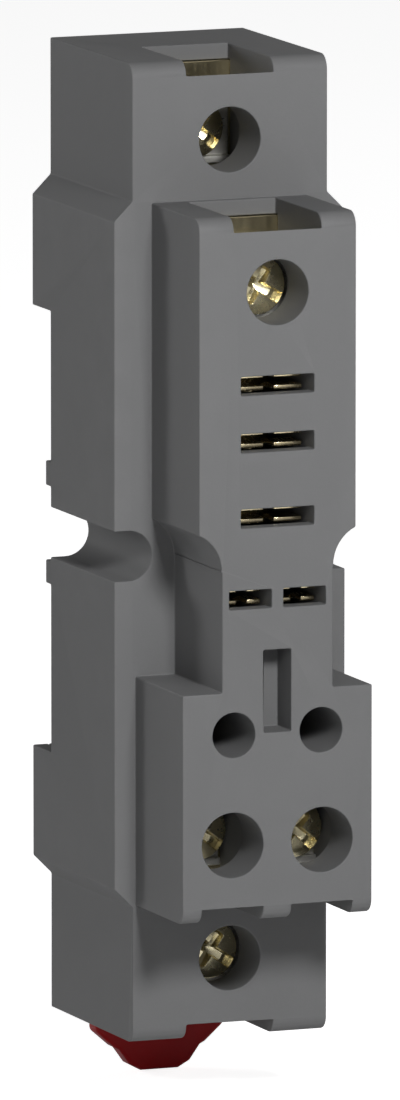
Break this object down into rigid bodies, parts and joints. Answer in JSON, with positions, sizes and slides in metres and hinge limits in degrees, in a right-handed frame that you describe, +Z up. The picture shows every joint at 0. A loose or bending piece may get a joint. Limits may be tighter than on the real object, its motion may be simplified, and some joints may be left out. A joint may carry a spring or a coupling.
{
  "type": "relay socket",
  "caption": "Slim rail-mounted relay socket with screw terminals, blade contact slots, module pin holes and a sliding red rail clip.",
  "frame": {"origin": "middle of the rail seat, on the plane where the front of the rail lies, at half the body's height", "axes": "+Z up along the socket towards its single end terminal, +Y into the wall through the rail, +X across to the right seen from the front"},
  "size_m": [0.0198, 0.0282, 0.0837],
  "materials": {
    "body_plastic": "fine satin moulded grey",
    "cover_plastic": "satin moulded grey",
    "clip_plastic": "semi-gloss moulded dark red",
    "strip_metal": "bright stamped brass",
    "contact_metal": "bright rolled bronze",
    "clamp_metal": "zinc plated pressed steel",
    "screw_metal": "yellow passivated zinc"
  },
  "bodies": {
    "socket": {"housing": "body_plastic", "back_cover": "cover_plastic", "strip_top": "strip_metal", "strip_upper": "strip_metal", "strip_coil_left": "strip_metal", "strip_coil_right": "strip_metal", "strip_bottom": "strip_metal", "contact_1": "contact_metal", "contact_2": "contact_metal", "contact_3": "contact_metal", "contact_coil_left": "contact_metal", "contact_coil_right": "contact_metal"},
    "clip": {"rail_clip": "clip_plastic"},
    "top_clamp": {"clamp_top": "clamp_metal"},
    "top_screw": {"screw_top": "screw_metal"},
    "upper_clamp": {"clamp_upper": "clamp_metal"},
    "upper_screw": {"screw_upper": "screw_metal"},
    "coil_left_clamp": {"clamp_coil_left": "clamp_metal"},
    "coil_left_screw": {"screw_coil_left": "screw_metal"},
    "coil_right_clamp": {"clamp_coil_right": "clamp_metal"},
    "coil_right_screw": {"screw_coil_right": "screw_metal"},
    "bottom_clamp": {"clamp_bottom": "clamp_metal"},
    "bottom_screw": {"screw_bottom": "screw_metal"}
  },
  "joints": [
    {"name": "clip_slide", "type": "slide", "parent": "socket", "child": "clip", "axis": [0, 0, -1], "range_m": [0, 0.0025], "stiffness_N_per_m": 1500, "springref_m": -0.001},
    {"name": "top_clamp_slide", "type": "slide", "parent": "socket", "child": "top_clamp", "axis": [0, -1, 0], "range_m": [0, 0.0034]},
    {"name": "top_screw_turn", "type": "hinge", "parent": "top_clamp", "child": "top_screw", "pos_m": [0, -0.0068, 0.03285], "axis": [0, -1, 0], "range_deg": [-7.2, 2455.2]},
    {"name": "upper_clamp_slide", "type": "slide", "parent": "socket", "child": "upper_clamp", "axis": [0, -1, 0], "range_m": [-0.003, 0.0004]},
    {"name": "upper_screw_turn", "type": "hinge", "parent": "upper_clamp", "child": "upper_screw", "pos_m": [0, -0.02, 0.022], "axis": [0, -1, 0], "range_deg": [-2167.2, 295.2]},
    {"name": "coil_left_clamp_slide", "type": "slide", "parent": "socket", "child": "coil_left_clamp", "axis": [0, -1, 0], "range_m": [0, 0.0034]},
    {"name": "coil_left_screw_turn", "type": "hinge", "parent": "coil_left_clamp", "child": "coil_left_screw", "pos_m": [-0.0038, -0.017, -0.0219], "axis": [0, -1, 0], "range_deg": [-7.2, 2455.2]},
    {"name": "coil_right_clamp_slide", "type": "slide", "parent": "socket", "child": "coil_right_clamp", "axis": [0, -1, 0], "range_m": [-0.0015, 0.0019]},
    {"name": "coil_right_screw_turn", "type": "hinge", "parent": "coil_right_clamp", "child": "coil_right_screw", "pos_m": [0.0038, -0.0185, -0.0219], "axis": [0, -1, 0], "range_deg": [-1087.2, 1375.2]},
    {"name": "bottom_clamp_slide", "type": "slide", "parent": "socket", "child": "bottom_clamp", "axis": [0, -1, 0], "range_m": [-0.003, 0.0004]},
    {"name": "bottom_screw_turn", "type": "hinge", "parent": "bottom_clamp", "child": "bottom_screw", "pos_m": [0, -0.0098, -0.03285], "axis": [0, -1, 0], "range_deg": [-2167.2, 295.2]}
  ],
  "couplings": [
    {"joint": "top_screw_turn", "follows": "top_clamp_slide", "rad_per_m": 12566},
    {"joint": "upper_screw_turn", "follows": "upper_clamp_slide", "rad_per_m": 12566},
    {"joint": "coil_left_screw_turn", "follows": "coil_left_clamp_slide", "rad_per_m": 12566},
    {"joint": "coil_right_screw_turn", "follows": "coil_right_clamp_slide", "rad_per_m": 12566},
    {"joint": "bottom_screw_turn", "follows": "bottom_clamp_slide", "rad_per_m": 12566}
  ]
}
